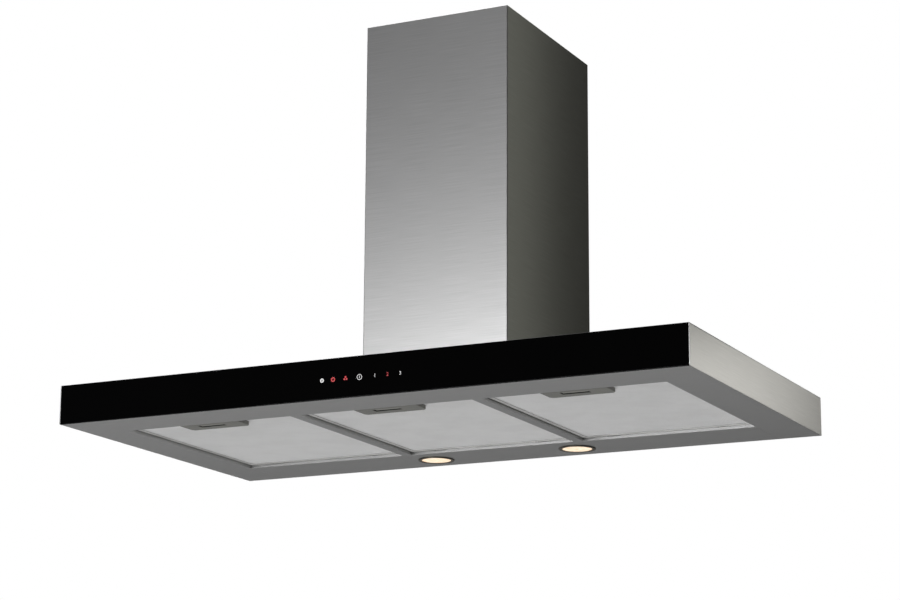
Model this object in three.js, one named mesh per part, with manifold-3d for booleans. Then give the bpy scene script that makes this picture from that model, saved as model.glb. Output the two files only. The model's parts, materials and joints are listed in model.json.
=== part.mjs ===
// Wall-mounted range hood: a flat canopy with a glass fascia, three lift-out grease filters, two lamps,
// a two-part telescopic chimney and, inside it, a double-inlet centrifugal blower.
// Millimetres. +X is to the right, the front faces -Y, the wall is the plane Y = 0 and +Z is up.
// Every piece is drawn with the canopy's underside at Z = 0. The finished assembly is then lowered, so
// that the origin is at the middle of the canopy's back face.
import * as THREE from "three";
import { mergeVertices } from "three/addons/utils/BufferGeometryUtils.js";
import Module from "manifold-3d";

const wasm = await Module();
wasm.setup();

// ---------------------------------------------------------------- driving dimensions

const WIDTH = 900; // canopy
const DEPTH = 500;
const HEIGHT = 53;
const SHEET = 1; // folded sheet steel
const GAP = 0.3; // between two pieces that touch
const PAST = 1; // how far a cut runs past the faces that it goes through
const SIDES = 32; // facets of a round piece
const SMALL_SIDES = 16; // facets of a pin, screw or small bore
const HEX = 6;
const TENTHS = 10; // a millimetre's tenths

const GLASS = 4; // fascia glass
const TAPE = { thickness: 1, width: 12, inset: 4, endInset: 10 };
const CARRIER = { flange: 14, windowWidth: 156, windowHeight: 24 };
const RAIL = { front: 78, side: 60, rear: 98, wall: 16, flange: 10 };
const DIVIDER = { width: 14, height: 12 };

const TOUCH = { board: 1.6, boardWidth: 150, boardHeight: 22, keyRadius: 4, standoff: 6 };
const TOUCH_KEYS = [-51, -35, -17, 3, 25, 43, 61]; // from the middle of the fascia
const TOUCH_RISE = 25; // height of the row of keys above the underside

const FILTER_COUNT = 3;
const FILTER = { recess: 4, thickness: 9, skin: 0.8, lip: 6, slip: 1.3, endSlip: 0.8 };
const MESH = { thickness: 2.4, pocket: 0.4 };
const TAB = { width: 14, reach: 5, thickness: 1.2, spread: 80, play: 2, rise: 7 };
const HANDLE = { width: 90, depth: 34, corner: 7, wall: 2.5, slotWidth: 38, slotInset: 7 };
const HANDLE_SLOT_SHIFT = -3; // the finger slot sits a little to the left
const LATCH = { travel: 3, bodyWidth: 46, bodyDepth: 14, thickness: 4, sink: 1, ahead: 1.5 };
const BUTTON = { width: 35, depth: 9, slack: 1 };
const BOLT = { width: 20, thickness: 2.5, reach: 2.2, play: 0.8, lift: 1 };
const SPRING = { radius: 1.7, wire: 0.35, turns: 5, stepsPerTurn: 8, sides: 6 };

const LAMP = { x: 110, fromWall: 50, body: 22.6, wall: 1.4, height: 12, lip: 3.4, lipThick: 1.2 };
const LAMP_HOLE_ROOM = 0.4;
const LENS = { thickness: 1.6, dome: 0.6, clearance: 0.4, shoulder: 0.45 };
const LED = { clearance: 1.2, lift: 3, height: 16, fins: 5, finThick: 1.6, finHeight: 7 };

const FLUE = { width: 218, depth: 280, top: 580, returnLip: 15, footLip: 8 };
const FLUE_SLIDE = 1.5; // clearance between the two chimney covers
const FLUE_UPPER_LENGTH = 460;
const FLUE_BRACKET = { height: 20, stepIn: 18.5, standoff: 14, arm: 34, drop: 8 };

// The blower box is sized by the room it leaves in the chimney, and the scroll by the room in the box.
const BLOWER = { sideRoom: 17, frontRoom: 16, back: 14, height: 300, flange: 6 };
const SCROLL = { wall: 2.5, tongue: 20, sideRoom: 42, frontRoom: 7, floorGap: 12 };
const SCROLL_STEPS = 30;
const THROAT_ROOM = 8; // between the impeller and the scroll's tongue
const INLET_LIP = 2; // how far the inlet's edge covers the impeller's blades
const OUTLET = { radius: 75, wall: 1.8, height: 62, baseLip: 5, baseThick: 2, ledge: 3, backRoom: 3 };
const OUTLET_LIFT = 26; // of the flap ledge above the collar's base
const FLAP = { thickness: 1.4, slip: 1.2, knuckle: 4, pin: 1.5, hubGap: 5, knuckleLength: 14, relief: 1 };
const KNUCKLE_SIDES = 20;
const IMPELLER = { radius: 70, depth: 12, endRoom: 5, ring: 2.5 };
const BLADE = { count: 30, thickness: 1.2, lean: 0.6, inset: 1 };
const HUB = { radius: 13, left: 20, right: 7, web: 2.4 };
const MOTOR = { radius: 38, hubRoom: 6, proud: 13, bore: 36, boss: 14, bossLength: 3 };
const SHAFT = { radius: 4, left: 24, inMotor: 31 };
const ARM = { hub: 28, width: 12, pastInlet: 12, thickness: 2, count: 3, bush: 5, bushLength: 5 };
const CAPACITOR = { radius: 15, height: 62, fromFront: 29, lift: 26, clip: 14 };
const JUNCTION = { width: 110, height: 34, wall: 2, lid: 2, fromCollar: 8, fromFront: 15 };
const GLAND = { bore: 4, thread: 6, nut: 9, nutLength: 7, inside: 5, outside: 12 };
const MODULE = { x: 300, width: 130, depth: 60, height: 26, wall: 1.8, lid: 1.8, fromWall: 14, lift: 18 };

const HANGER = { x: 175, width: 62, height: 36, thickness: 2, overFlange: 2, access: 9 };
const KEYHOLE = { eye: 5, neck: 2.6, length: 10 };
const LEVEL_SCREW = { radius: 3, headRadius: 5, below: 8, above: 16, head: 3, shelf: 12 };

// ---------------------------------------------------------------- places worked out from them

const front = -DEPTH;
const glassBack = front + GLASS;
const tapeFront = glassBack + GAP;
const carrierFront = tapeFront + TAPE.thickness + GAP;
const sideInner = WIDTH / 2 - SHEET;
const opening = { x: WIDTH / 2 - RAIL.side, front: front + RAIL.front, back: -RAIL.rear };
const bayWidth = (2 * opening.x - (FILTER_COUNT - 1) * DIVIDER.width) / FILTER_COUNT;
const bayLength = opening.back - opening.front;
const bayPitch = bayWidth + DIVIDER.width;
const firstBay = -opening.x + bayWidth / 2;
const filterTop = FILTER.recess + FILTER.thickness;
const boltLift = FILTER.recess + BOLT.lift;
const blowerBase = HEIGHT + GAP;
const blowerTop = blowerBase + BLOWER.height;
const blowerHalf = FLUE.width / 2 - BLOWER.sideRoom;
const blowerFront = BLOWER.frontRoom - FLUE.depth;
const collarHalf = OUTLET.radius + OUTLET.baseLip;
const outletY = -(BLOWER.back + OUTLET.backRoom + collarHalf);

// The scroll's spiral grows from the throat radius at the tongue to the end radius at the outlet. The end
// radius, to a tenth of a millimetre, is the one that leaves SCROLL.frontRoom to the box's front.
const throat = IMPELLER.radius + THROAT_ROOM;
const throatAngle = Math.acos(SCROLL.tongue / throat);
const frontShare = (Math.PI - throatAngle) / (2 * Math.PI - throatAngle);
const scrollFront = blowerFront + SHEET + SCROLL.frontRoom + SCROLL.wall;
const scrollReach = outletY - scrollFront - SCROLL.tongue / 2 - throat * (1 - frontShare);
const scrollEnd = Math.round((scrollReach / (1 / 2 + frontShare)) * TENTHS) / TENTHS;
const scrollHalfWidth = blowerHalf - SCROLL.sideRoom;
const inletRadius = IMPELLER.radius - IMPELLER.depth - INLET_LIP;
const fan = {
  y: outletY - (scrollEnd + SCROLL.tongue) / 2,
  z: blowerBase + scrollEnd + SCROLL.wall + SCROLL.floorGap,
  halfWidth: scrollHalfWidth - IMPELLER.endRoom,
};
const motorX = [HUB.right + MOTOR.hubRoom, scrollHalfWidth + MOTOR.proud];
const armReach = inletRadius + ARM.pastInlet;
const hangerLow = RAIL.flange + HANGER.overFlange;
const hangerMiddle = hangerLow + HANGER.height / 2;
const hangerFace = -SHEET - GAP;
const collarBase = blowerTop + GAP;
const flapLedge = collarBase + OUTLET.baseThick + OUTLET_LIFT;
const pinZ = flapLedge + FLAP.knuckle + GAP;

// ---------------------------------------------------------------- geometry helpers

const PER_MM = 1e4; // every corner is rounded to a ten-thousandth, so that faces meant to meet do

// A closed three.js geometry as a solid that can be joined and cut.
function solid(geometry) {
  const loose = geometry.index ? geometry.toNonIndexed() : geometry.clone();
  loose.deleteAttribute("normal");
  loose.deleteAttribute("uv");
  const places = loose.getAttribute("position").array;
  places.forEach((value, i) => {
    places[i] = Math.round(value * PER_MM) / PER_MM;
  });
  const merged = mergeVertices(loose, 1 / PER_MM);
  const corners = merged.index.array;
  const kept = [];
  for (let i = 0; i < corners.length; i += 3) {
    const [a, b, c] = [corners[i], corners[i + 1], corners[i + 2]];
    if (a !== b && b !== c && a !== c) kept.push(a, b, c);
  }
  const vertProperties = merged.attributes.position.array;
  const triVerts = new Uint32Array(kept);
  return new wasm.Manifold(new wasm.Mesh({ numProp: 3, vertProperties, triVerts }));
}

// Each range is [low, high].
function block(x, y, z) {
  const box = new THREE.BoxGeometry(x[1] - x[0], y[1] - y[0], z[1] - z[0]);
  return solid(box.translate((x[0] + x[1]) / 2, (y[0] + y[1]) / 2, (z[0] + z[1]) / 2));
}

// A round bar along an axis; centre holds the other two coordinates, in X, Y, Z order.
function rod(axis, radius, range, centre, sides = SIDES) {
  const bar = new THREE.CylinderGeometry(radius, radius, range[1] - range[0], sides);
  const middle = (range[0] + range[1]) / 2;
  if (axis === "x") return solid(bar.rotateZ(-Math.PI / 2).translate(middle, centre[0], centre[1]));
  if (axis === "y") return solid(bar.translate(centre[0], middle, centre[1]));
  return solid(bar.rotateX(Math.PI / 2).translate(centre[0], centre[1], middle));
}

function tube(axis, outer, inner, range, centre, sides = SIDES) {
  const past = [range[0] - PAST, range[1] + PAST];
  return rod(axis, outer, range, centre, sides).subtract(rod(axis, inner, past, centre, sides));
}

// An outline in the X-Y plane, drawn up along Z.
function prism(outline, z, curveSegments = 6) {
  const shape = outline instanceof THREE.Shape ? outline : new THREE.Shape(outline);
  const depth = z[1] - z[0];
  const body = new THREE.ExtrudeGeometry(shape, { depth, bevelEnabled: false, curveSegments });
  return solid(body.translate(0, 0, z[0]));
}

// An outline in the Y-Z plane, drawn along X.
function sidePrism(points, x) {
  const depth = x[1] - x[0];
  const body = new THREE.ExtrudeGeometry(new THREE.Shape(points), { depth, bevelEnabled: false });
  const turn = new THREE.Matrix4().makeBasis(
    new THREE.Vector3(0, 1, 0),
    new THREE.Vector3(0, 0, 1),
    new THREE.Vector3(1, 0, 0),
  );
  return solid(body.applyMatrix4(turn).translate(x[0], 0, 0));
}

// A profile of [radius, height] points turned about Z.
function turned(profile, sides = SIDES) {
  const points = profile.map(([radius, height]) => new THREE.Vector2(radius, height));
  return solid(new THREE.LatheGeometry(points, sides).rotateX(Math.PI / 2));
}

const join = (first, ...rest) => rest.reduce((whole, next) => whole.add(next), first);
const cut = (whole, ...tools) => tools.reduce((left, tool) => left.subtract(tool), whole);
const both = (make) => [make(-1), make(1)];
const bays = (make) => Array.from({ length: FILTER_COUNT }, (_, i) => make(firstBay + i * bayPitch, i));
const span = (a, b) => (a < b ? [a, b] : [b, a]);
const about = (middle, size) => [middle - size / 2, middle + size / 2];

// ---------------------------------------------------------------- finishes and scene

const FINISH = {
  brushedSteel: { color: 0xb9bcbe, metalness: 1, roughness: 0.34 },
  galvanised: { color: 0xa3a7aa, metalness: 1, roughness: 0.5 },
  aluminium: { color: 0xb6b6b4, metalness: 1, roughness: 0.42 },
  blackGlass: { color: 0x050506, metalness: 0, roughness: 0.06 },
  greyPlastic: { color: 0x85857c, metalness: 0, roughness: 0.5 },
  blackPlastic: { color: 0x1c1c1d, metalness: 0, roughness: 0.6 },
  whitePlastic: { color: 0xd8d6cf, metalness: 0, roughness: 0.5 },
  foamTape: { color: 0x2a2a2a, metalness: 0, roughness: 0.9 },
  circuitBoard: { color: 0x1f5a34, metalness: 0, roughness: 0.5 },
  lampLens: { color: 0xfff1d6, metalness: 0, roughness: 0.3 },
  darkSteel: { color: 0x6a6b6c, metalness: 1, roughness: 0.4 },
  rubber: { color: 0x202020, metalness: 0, roughness: 0.85 },
};

const hood = new THREE.Group();

function group(parent, x = 0, y = 0, z = 0) {
  const made = new THREE.Group();
  made.position.set(x, y, z);
  parent.add(made);
  return made;
}

function piece(parent, name, body, finish) {
  const { vertProperties, triVerts } = body.getMesh();
  const geometry = new THREE.BufferGeometry();
  geometry.setAttribute("position", new THREE.BufferAttribute(vertProperties, 3));
  geometry.setIndex(new THREE.BufferAttribute(triVerts, 1));
  geometry.computeVertexNormals();
  const mesh = new THREE.Mesh(geometry, new THREE.MeshStandardMaterial(finish));
  mesh.name = name;
  parent.add(mesh);
}

// ---------------------------------------------------------------- canopy

// One folded sheet: top, both sides and back. The underside and the front are open.
function canopyShell() {
  const outer = block([-WIDTH / 2, WIDTH / 2], [front, 0], [0, HEIGHT]);
  const inside = [-sideInner, sideInner];
  const hollow = block(inside, [front - PAST, -SHEET], [-PAST, HEIGHT - SHEET]);
  const glassPlace = block(inside, [front - PAST, glassBack + GAP], [-PAST, HEIGHT + PAST]);
  const mouth = block(
    about(0, 2 * (blowerHalf - SHEET)),
    [blowerFront + SHEET, -BLOWER.back - SHEET],
    [HEIGHT - 2 * SHEET, HEIGHT + SHEET],
  );
  const access = both((s) => rod("y", HANGER.access, [-2 * SHEET, SHEET], [s * HANGER.x, hangerMiddle]));
  return cut(outer, hollow, glassPlace, mouth, ...access);
}

// Front rail and both side rails in one sheet, with the walls that stand round the filter opening.
function undersideFrame() {
  const outer = sideInner - GAP;
  const back = -SHEET - GAP;
  const wall = [0, RAIL.wall];
  const frontRail = block([-outer, outer], [tapeFront, opening.front], [0, SHEET]);
  const wallWidth = 2 * (opening.x + SHEET);
  const frontWall = block(about(0, wallWidth), [opening.front - SHEET, opening.front], wall);
  const sideRails = both((s) => block(span(s * opening.x, s * outer), [tapeFront, back], [0, SHEET]));
  const sideWalls = both((s) =>
    block(span(s * opening.x, s * (opening.x + SHEET)), [opening.front - SHEET, opening.back], wall),
  );
  const flanges = both((s) =>
    block(span(s * (outer - SHEET), s * outer), [tapeFront, back], [0, RAIL.flange]),
  );
  const keepers = bays((x) =>
    block(
      about(x, BOLT.width + 2 * BOLT.play),
      [opening.front - 2 * SHEET, opening.front + SHEET],
      [boltLift - BOLT.play, boltLift + BOLT.thickness + BOLT.play],
    ),
  );
  return cut(join(frontRail, frontWall, ...sideRails, ...sideWalls, ...flanges), ...keepers);
}

// Rear strip of the underside. It holds the lamps and the slots for the filters' rear tabs.
function lampPanel() {
  const halfWidth = opening.x - GAP;
  const back = -SHEET - GAP;
  const strip = block([-halfWidth, halfWidth], [opening.back, back], [0, SHEET]);
  const frontWall = block([-halfWidth, halfWidth], [opening.back, opening.back + SHEET], [0, RAIL.wall]);
  const rearFlange = block([-halfWidth, halfWidth], [back - SHEET, back], [0, RAIL.flange]);
  const holeRadius = LAMP.body + LAMP_HOLE_ROOM;
  const lampHoles = both((s) => rod("z", holeRadius, [-SHEET, 2 * SHEET], [s * LAMP.x, -LAMP.fromWall]));
  const slots = bays((x) =>
    both((s) =>
      block(
        about(x + s * TAB.spread, TAB.width + 2 * TAB.play),
        [opening.back - SHEET, opening.back + 2 * SHEET],
        [FILTER.recess - GAP, FILTER.recess + TAB.thickness + TAB.rise],
      ),
    ),
  ).flat();
  return cut(join(strip, frontWall, rearFlange), ...lampHoles, ...slots);
}

// A channel between two filter bays, open upwards.
function divider() {
  const long = [opening.front + GAP, opening.back - GAP];
  const face = block(about(0, DIVIDER.width), long, [0, SHEET]);
  const walls = both((s) =>
    block(span(s * (DIVIDER.width / 2 - SHEET), (s * DIVIDER.width) / 2), long, [0, DIVIDER.height]),
  );
  return join(face, ...walls);
}

// ---------------------------------------------------------------- fascia

const fasciaHalf = sideInner - GAP;

function glassFascia() {
  return block([-fasciaHalf, fasciaHalf], [front, glassBack], [0, HEIGHT]);
}

function fasciaTape(low) {
  const half = fasciaHalf - TAPE.endInset;
  return block([-half, half], [tapeFront, tapeFront + TAPE.thickness], [low, low + TAPE.width]);
}

// The tape sticks the glass to this channel. Its window lets the touch keys reach the glass.
function fasciaCarrier() {
  const low = SHEET + GAP;
  const high = HEIGHT - SHEET - GAP;
  const half = fasciaHalf - SHEET - GAP;
  const back = carrierFront + SHEET;
  const web = block([-half, half], [carrierFront, back], [low, high]);
  const flanges = [low, high - SHEET].map((z) =>
    block([-half, half], [carrierFront, carrierFront + CARRIER.flange], [z, z + SHEET]),
  );
  const window = block(
    about(0, CARRIER.windowWidth),
    [carrierFront - SHEET, back + SHEET],
    about(TOUCH_RISE, CARRIER.windowHeight),
  );
  return cut(join(web, ...flanges), window);
}

function touchBoard() {
  const face = carrierFront + SHEET + TOUCH.standoff;
  const board = block(
    about(0, TOUCH.boardWidth),
    [face, face + TOUCH.board],
    about(TOUCH_RISE, TOUCH.boardHeight),
  );
  const keyLength = [glassBack + GAP, face + GAP];
  const keys = TOUCH_KEYS.map((x) => rod("y", TOUCH.keyRadius, keyLength, [x, TOUCH_RISE], SMALL_SIDES));
  return join(board, ...keys);
}

// ---------------------------------------------------------------- grease filters
// A filter is drawn in its bay: X = 0 is the bay's middle and Y = 0 the opening's front edge.

const filterHalf = bayWidth / 2 - FILTER.slip;
const filterFront = FILTER.endSlip;
const filterBack = bayLength - FILTER.endSlip;
const handleNotch = (z) =>
  block(about(0, HANDLE.width + 2 * GAP), [filterFront - PAST, filterFront + HANDLE.depth + GAP], z);

// A channel-section frame folded round the mesh, open at the handle, with two tabs at the back.
function filterFrame() {
  const tall = [FILTER.recess, filterTop];
  const long = [filterFront, filterBack];
  const inset = (d) => [[-filterHalf + d, filterHalf - d], [long[0] + d, long[1] - d]];
  const slab = block([-filterHalf, filterHalf], long, tall);
  const groove = block(...inset(FILTER.skin), [tall[0] + FILTER.skin, tall[1] - FILTER.skin]);
  const through = block(...inset(FILTER.lip), [tall[0] - PAST, tall[1] + PAST]);
  const tabs = both((s) =>
    block(
      about(s * TAB.spread, TAB.width),
      [filterBack - FILTER.skin, bayLength + TAB.reach],
      [FILTER.recess, FILTER.recess + TAB.thickness],
    ),
  );
  return join(cut(slab, groove, through, handleNotch([0, filterTop + PAST])), ...tabs);
}

// The layers of expanded metal, pressed flat on the frame's lower lip.
function filterMesh() {
  const edge = FILTER.skin + MESH.pocket;
  const low = FILTER.recess + FILTER.skin + GAP;
  const slab = block(
    [-filterHalf + edge, filterHalf - edge],
    [filterFront + edge, filterBack - edge],
    [low, low + MESH.thickness],
  );
  return cut(slab, handleNotch([0, filterTop + PAST]));
}

const slotY = filterFront + HANDLE.slotInset;
const latchFront = slotY - LATCH.ahead;
const latchLow = boltLift - LATCH.sink;
const latchBack = latchFront + LATCH.bodyDepth;
const handleTop = filterTop - GAP;
const handleBack = filterFront + HANDLE.depth;
const springBack = handleBack - HANDLE.wall - GAP;

// Flush with the rails, with clipped rear corners. The latch slides in its hollow.
function filterHandle() {
  const half = HANDLE.width / 2;
  const outline = new THREE.Shape();
  outline.moveTo(-half, filterFront);
  outline.lineTo(half, filterFront);
  const corner = HANDLE.corner;
  outline.absarc(half - corner, handleBack - corner, corner, 0, Math.PI / 2, false);
  outline.absarc(-half + corner, handleBack - corner, corner, Math.PI / 2, Math.PI, false);
  const hollow = block(
    about(0, LATCH.bodyWidth + 2 * GAP),
    [latchFront - GAP, handleBack - HANDLE.wall],
    [latchLow - GAP, handleTop + PAST],
  );
  const slot = block(
    about(HANDLE_SLOT_SHIFT, HANDLE.slotWidth),
    [slotY, slotY + BUTTON.slack + BUTTON.depth + LATCH.travel],
    [-PAST, latchLow + PAST],
  );
  const boltWay = block(
    about(0, BOLT.width + 2 * GAP),
    [filterFront - PAST, latchFront + PAST],
    [boltLift - GAP, boltLift + BOLT.thickness + GAP],
  );
  return cut(prism(outline, [0, handleTop]), hollow, slot, boltWay);
}

// Finger button, sliding body and bolt in one moulding.
function filterLatch() {
  const tall = [latchLow, latchLow + LATCH.thickness];
  const body = block(about(0, LATCH.bodyWidth), [latchFront, latchBack], tall);
  const buttonY = slotY + BUTTON.slack;
  const button = block(
    about(HANDLE_SLOT_SHIFT, BUTTON.width),
    [buttonY, buttonY + BUTTON.depth],
    [SHEET, latchLow + PAST],
  );
  const bolt = block(
    about(0, BOLT.width),
    [-SHEET - BOLT.reach, latchFront + PAST],
    [boltLift, boltLift + BOLT.thickness],
  );
  return join(body, button, bolt);
}

class Coil extends THREE.Curve {
  constructor(from, to, radius, turns, height) {
    super();
    Object.assign(this, { from, to, radius, turns, height });
  }

  getPoint(t, target = new THREE.Vector3()) {
    const angle = 2 * Math.PI * this.turns * t;
    const along = this.from + (this.to - this.from) * t;
    return target.set(this.radius * Math.cos(angle), along, this.height + this.radius * Math.sin(angle));
  }
}

// Compression spring between the latch and the handle's rear wall.
function filterSpring() {
  const from = latchBack + GAP + SPRING.wire;
  const to = springBack - SPRING.wire;
  const path = new Coil(from, to, SPRING.radius, SPRING.turns, latchLow + LATCH.thickness / 2);
  const section = new THREE.Shape().absarc(0, 0, SPRING.wire, 0, 2 * Math.PI, false);
  const wire = new THREE.ExtrudeGeometry(section, {
    extrudePath: path,
    steps: SPRING.turns * SPRING.stepsPerTurn,
    curveSegments: SPRING.sides / 2,
    bevelEnabled: false,
  });
  return solid(wire);
}

// ---------------------------------------------------------------- lamps
// A lamp is drawn about the Z axis through its own centre.

function lampBezel() {
  const bore = LAMP.body - LAMP.wall;
  const face = -GAP - LAMP.lipThick;
  return turned([
    [bore, face],
    [LAMP.body + LAMP.lip, face],
    [LAMP.body + LAMP.lip, -GAP],
    [LAMP.body, -GAP],
    [LAMP.body, LAMP.height],
    [bore, LAMP.height],
    [bore, face],
  ]);
}

function lampLens() {
  const radius = LAMP.body - LAMP.wall - LENS.clearance;
  const face = -GAP - LAMP.lipThick + LENS.dome;
  return turned([
    [0, face - LENS.dome],
    [radius / 2, face - LENS.shoulder],
    [radius, face],
    [radius, face + LENS.thickness],
    [0, face + LENS.thickness],
  ]);
}

// Finned aluminium block that carries the light source.
function ledModule() {
  const low = LED.lift;
  const radius = LAMP.body - LAMP.wall - LED.clearance;
  const body = rod("z", radius, [low, low + LED.height], [0, 0]);
  const pitch = (2 * radius) / LED.fins;
  const slots = Array.from({ length: LED.fins }, (_, i) =>
    block(
      about(-radius + (i + 0.5) * pitch, pitch - LED.finThick),
      [-radius - PAST, radius + PAST],
      [low + LED.height - LED.finHeight, low + LED.height + PAST],
    ),
  );
  return cut(body, ...slots);
}

// ---------------------------------------------------------------- chimney

// The mirror image in X of a run of points, in reverse order, so that the two runs close an outline.
const mirrored = (points) => points.map(([x, y]) => [-x, y]).reverse();

function outlineOf(points) {
  return [...points, ...mirrored(points)].map(([x, y]) => new THREE.Vector2(x, y));
}

// A cover of U section, open to the wall, with lips folded in along the wall.
function flueCover(halfWidth, frontY, wallY, z) {
  const lip = halfWidth - FLUE.returnLip;
  return prism(
    outlineOf([
      [halfWidth, frontY],
      [halfWidth, wallY],
      [lip, wallY],
      [lip, wallY - SHEET],
      [halfWidth - SHEET, wallY - SHEET],
      [halfWidth - SHEET, frontY + SHEET],
    ]),
    z,
  );
}

function lowerCover() {
  const half = FLUE.width / 2;
  const low = HEIGHT + GAP;
  const lip = half - FLUE.footLip;
  const cover = flueCover(half, -FLUE.depth, 0, [low, FLUE.top]);
  const foot = outlineOf([
    [half, -FLUE.depth],
    [half, 0],
    [lip, 0],
    [lip, -FLUE.depth + FLUE.footLip],
  ]);
  return join(cover, prism(foot, [low, low + SHEET]));
}

const upperHalf = FLUE.width / 2 - SHEET - FLUE_SLIDE;
const upperWallY = -SHEET - GAP;
const upperTop = FLUE.top - SHEET;

function upperCover() {
  const frontY = -FLUE.depth + SHEET + FLUE_SLIDE;
  return flueCover(upperHalf, frontY, upperWallY, [upperTop - FLUE_UPPER_LENGTH, upperTop]);
}

// Wall plate with two arms that the upper cover is fixed to.
function flueBracket() {
  const high = upperTop - FLUE_BRACKET.drop;
  const reach = upperHalf - SHEET - GAP;
  const step = upperHalf - FLUE_BRACKET.stepIn;
  const stand = -FLUE_BRACKET.standoff;
  const tip = stand - FLUE_BRACKET.arm;
  return prism(
    outlineOf([
      [step, 0],
      [step, stand],
      [reach, stand],
      [reach, tip],
      [reach - SHEET, tip],
      [reach - SHEET, stand - SHEET],
      [step - SHEET, stand - SHEET],
      [step - SHEET, -SHEET],
    ]),
    [high - FLUE_BRACKET.height, high],
  );
}

// ---------------------------------------------------------------- blower

// Open at the bottom, flanged to the canopy, with the outlet in its top.
function blowerBox() {
  const half = blowerHalf;
  const outer = block([-half, half], [blowerFront, -BLOWER.back], [blowerBase, blowerTop]);
  const inner = block(
    [-half + SHEET, half - SHEET],
    [blowerFront + SHEET, -BLOWER.back - SHEET],
    [blowerBase - SHEET, blowerTop - SHEET],
  );
  const flange = block(
    [-half - BLOWER.flange, half + BLOWER.flange],
    [blowerFront - BLOWER.flange, -BLOWER.back + BLOWER.flange],
    [blowerBase, blowerBase + SHEET],
  );
  return cut(join(outer, flange), inner, outletWay([blowerTop - 2 * SHEET, blowerTop + SHEET]));
}

// The rectangular air way out of the scroll.
function outletWay(z) {
  return block(
    about(0, 2 * (scrollHalfWidth - SCROLL.wall)),
    [fan.y + SCROLL.tongue, fan.y + scrollEnd],
    z,
  );
}

// Spiral from the tongue round to the outlet, which rises straight to the box's top.
function scrollOutline(offset, top) {
  const start = Math.acos((SCROLL.tongue - offset) / (throat + offset));
  const sweep = 2 * Math.PI - start;
  const spiral = Array.from({ length: SCROLL_STEPS + 1 }, (_, i) => {
    const share = i / SCROLL_STEPS;
    const radius = throat + (scrollEnd - throat) * share + offset;
    const angle = start + sweep * share;
    return new THREE.Vector2(fan.y + radius * Math.cos(angle), fan.z + radius * Math.sin(angle));
  });
  const outletTop = [
    new THREE.Vector2(fan.y + scrollEnd + offset, top),
    new THREE.Vector2(fan.y + SCROLL.tongue - offset, top),
  ];
  return [...spiral, ...outletTop];
}

// side is -1 for the left moulding and 1 for the right one; they meet in the middle.
function scrollHalf(side) {
  const top = blowerTop - SHEET - GAP;
  const outside = span((side * GAP) / 2, side * scrollHalfWidth);
  const shell = sidePrism(scrollOutline(SCROLL.wall, top), outside);
  const inside = span(-side * PAST, side * (scrollHalfWidth - SCROLL.wall));
  const hollow = sidePrism(scrollOutline(0, top + PAST), inside);
  const inlet = rod("x", inletRadius, span(0, side * (scrollHalfWidth + PAST)), [fan.y, fan.z]);
  return cut(shell, hollow, inlet);
}

// Blade cage of a double-inlet centrifugal fan, with its web and hub in the middle.
function impeller() {
  const centre = [fan.y, fan.z];
  const inner = IMPELLER.radius - IMPELLER.depth;
  const blade = new THREE.BoxGeometry(2 * fan.halfWidth, IMPELLER.depth - BLADE.inset, BLADE.thickness);
  blade.rotateX(BLADE.lean).translate(0, inner + IMPELLER.depth / 2, 0);
  const blades = Array.from({ length: BLADE.count }, (_, i) =>
    solid(blade.clone().rotateX((2 * Math.PI * i) / BLADE.count).translate(0, fan.y, fan.z)),
  );
  const rings = both((s) => {
    const edge = s * fan.halfWidth;
    return tube("x", IMPELLER.radius, inner, span(edge - s * IMPELLER.ring, edge), centre);
  });
  const web = rod("x", IMPELLER.radius - BLADE.inset, about(0, HUB.web), centre);
  const hub = rod("x", HUB.radius, [-HUB.left, HUB.right], centre);
  const bore = rod("x", SHAFT.radius + GAP, [-HUB.left - PAST, HUB.right + PAST], centre);
  return cut(join(web, hub, ...rings, ...blades), bore);
}

function motorShaft() {
  return rod("x", SHAFT.radius, [-SHAFT.left, motorX[0] + SHAFT.inMotor], [fan.y, fan.z], SMALL_SIDES);
}

function motor() {
  const centre = [fan.y, fan.z];
  const can = rod("x", MOTOR.radius, motorX, centre);
  const boss = rod("x", MOTOR.boss, [motorX[0] - MOTOR.bossLength, motorX[0] + PAST], centre);
  const bore = rod("x", SHAFT.radius + GAP, [0, motorX[0] + MOTOR.bore], centre);
  return cut(join(can, boss), bore);
}

function armAngle(i) {
  return Math.PI / 2 + (2 * Math.PI * i) / ARM.count;
}

// Plate on the motor's end with arms that reach over the inlet and down to the bushes.
function motorBracket() {
  const plate = [motorX[1] + GAP, motorX[1] + GAP + ARM.thickness];
  const footStart = scrollHalfWidth + GAP + ARM.bushLength + GAP;
  const arms = Array.from({ length: ARM.count }, (_, i) => {
    const arm = new THREE.BoxGeometry(ARM.thickness, armReach, ARM.width);
    arm.translate(plate[0] + ARM.thickness / 2, armReach / 2, 0);
    const foot = new THREE.BoxGeometry(plate[1] - footStart, ARM.thickness, ARM.width);
    foot.translate((plate[1] + footStart) / 2, armReach - ARM.thickness / 2, 0);
    const place = (g) => solid(g.rotateX(armAngle(i)).translate(0, fan.y, fan.z));
    return join(place(arm), place(foot));
  });
  return join(rod("x", ARM.hub, plate, [fan.y, fan.z]), ...arms);
}

function motorBush(i) {
  const radius = armReach - ARM.thickness / 2;
  const y = fan.y + radius * Math.cos(armAngle(i));
  const z = fan.z + radius * Math.sin(armAngle(i));
  const start = scrollHalfWidth + GAP;
  return rod("x", ARM.bush, [start, start + ARM.bushLength], [y, z], SMALL_SIDES);
}

const capacitorLow = blowerBase + CAPACITOR.lift;
const clipFace = -blowerHalf + SHEET + GAP;
const capacitorCentre = [clipFace + SHEET + GAP + CAPACITOR.radius, blowerFront + CAPACITOR.fromFront];

function capacitor() {
  const centre = capacitorCentre;
  return rod("z", CAPACITOR.radius, [capacitorLow, capacitorLow + CAPACITOR.height], centre);
}

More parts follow.
